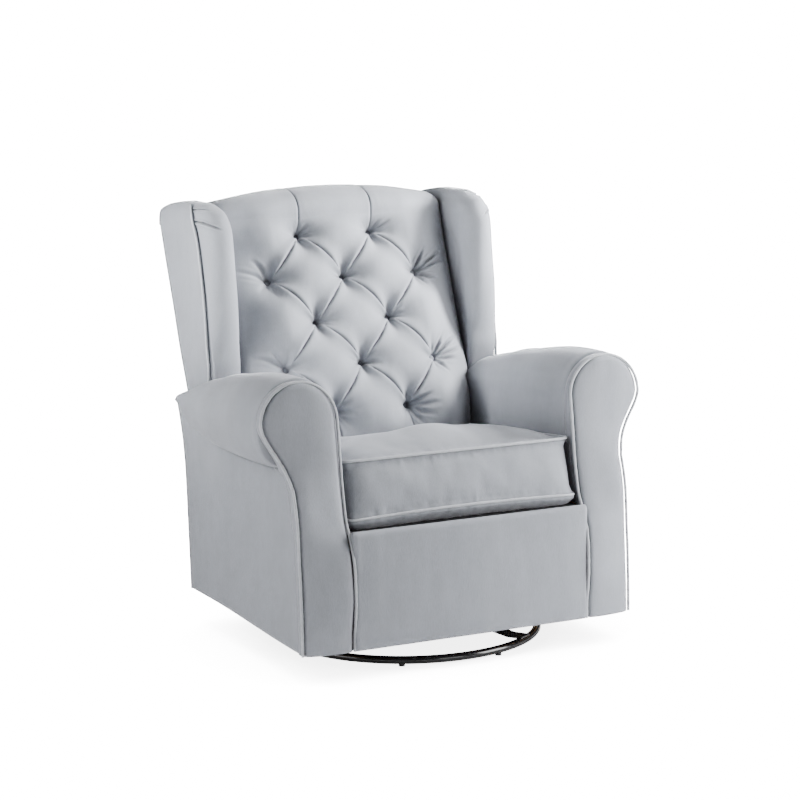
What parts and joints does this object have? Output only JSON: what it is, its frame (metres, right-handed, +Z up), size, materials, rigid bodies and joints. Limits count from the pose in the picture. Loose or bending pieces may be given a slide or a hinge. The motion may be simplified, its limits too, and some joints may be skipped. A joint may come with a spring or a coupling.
{
  "type": "swivel glider chair",
  "caption": "Upholstered wing-back chair with rolled arms and a tufted back that turns on a round base and glides on swing links.",
  "frame": {"origin": "on the floor, on the swivel's axis", "axes": "+Z up, -Y towards the front of the chair, +X to the right of someone who looks at its front"},
  "size_m": [0.9192, 0.8729, 0.989],
  "materials": {
    "upholstery": "brushed velvet, matt with a soft sheen",
    "piping": "the same velvet over a cord",
    "deck_cloth": "plain woven lining",
    "webbing": "woven elastic",
    "timber": "planed hardwood",
    "base_steel": "black powder coat, satin",
    "bright_steel": "zinc plated",
    "nylon": "natural nylon"
  },
  "bodies": {
    "base": {"base_ring": "base_steel", "base_cross": "base_steel", "base_feet": "base_steel", "bearing_lower_race": "bright_steel", "bearing_balls": "bright_steel", "bearing_cage": "nylon", "king_bolt": "bright_steel", "king_nut": "bright_steel"},
    "carriage": {"bearing_upper_race": "bright_steel", "swivel_plate": "base_steel", "carriage_cross_tubes": "base_steel", "carriage_side_tubes": "base_steel", "plate_bolts": "bright_steel", "plate_nuts": "bright_steel", "hanger_posts": "base_steel", "upper_pivot_pins": "bright_steel", "upper_spacers": "nylon"},
    "front_links": {"front_links": "base_steel", "front_link_bushes": "nylon"},
    "rear_links": {"rear_links": "base_steel", "rear_link_bushes": "nylon"},
    "chair": {"glide_rail_left": "base_steel", "glide_rail_right": "base_steel", "lower_pivot_pins": "bright_steel", "rail_screws": "bright_steel", "seat_front_rail": "timber", "seat_rear_rail": "timber", "seat_side_rails": "timber", "corner_blocks": "timber", "seat_springs": "bright_steel", "spring_clips": "nylon", "seat_deck": "deck_cloth", "front_base_rail": "timber", "rear_base_rail": "timber", "arm_base_rails": "timber", "arm_stumps": "timber", "arm_top_rails": "timber", "arm_rear_posts": "timber", "back_posts": "timber", "back_rails": "timber", "back_webbing": "webbing", "wing_boards": "timber", "apron": "upholstery", "arm_front_left": "upholstery", "arm_front_right": "upholstery", "inside_arms": "upholstery", "outside_arms": "upholstery", "arm_roll_left": "upholstery", "arm_roll_right": "upholstery", "arm_welts": "piping", "wing_left": "upholstery", "wing_right": "upholstery", "outside_wings": "upholstery", "wing_welts": "piping", "outside_back": "upholstery", "back_cushion": "upholstery", "back_buttons": "upholstery"},
    "seat_cushion": {"seat_cushion": "upholstery", "cushion_welts": "piping"}
  },
  "joints": [
    {"name": "swivel", "type": "hinge", "parent": "base", "child": "carriage", "pos_m": [0, 0, 0.0675], "axis": [0, 0, 1], "continuous": true},
    {"name": "front_link_swing", "type": "hinge", "parent": "carriage", "child": "front_links", "pos_m": [0, -0.12, 0.26], "axis": [1, 0, 0], "range_deg": [-22, 22]},
    {"name": "chair_level", "type": "hinge", "parent": "front_links", "child": "chair", "pos_m": [0, -0.12, 0.13], "axis": [1, 0, 0], "range_deg": [-22, 22]},
    {"name": "rear_link_swing", "type": "hinge", "parent": "carriage", "child": "rear_links", "pos_m": [0, 0.12, 0.26], "axis": [1, 0, 0], "range_deg": [-22, 22]},
    {"name": "cushion_lift", "type": "slide", "parent": "chair", "child": "seat_cushion", "axis": [0, 0, 1], "range_m": [0, 0.35]}
  ],
  "couplings": [
    {"joint": "chair_level", "follows": "front_link_swing", "ratio": -1},
    {"joint": "rear_link_swing", "follows": "front_link_swing", "ratio": 1}
  ]
}
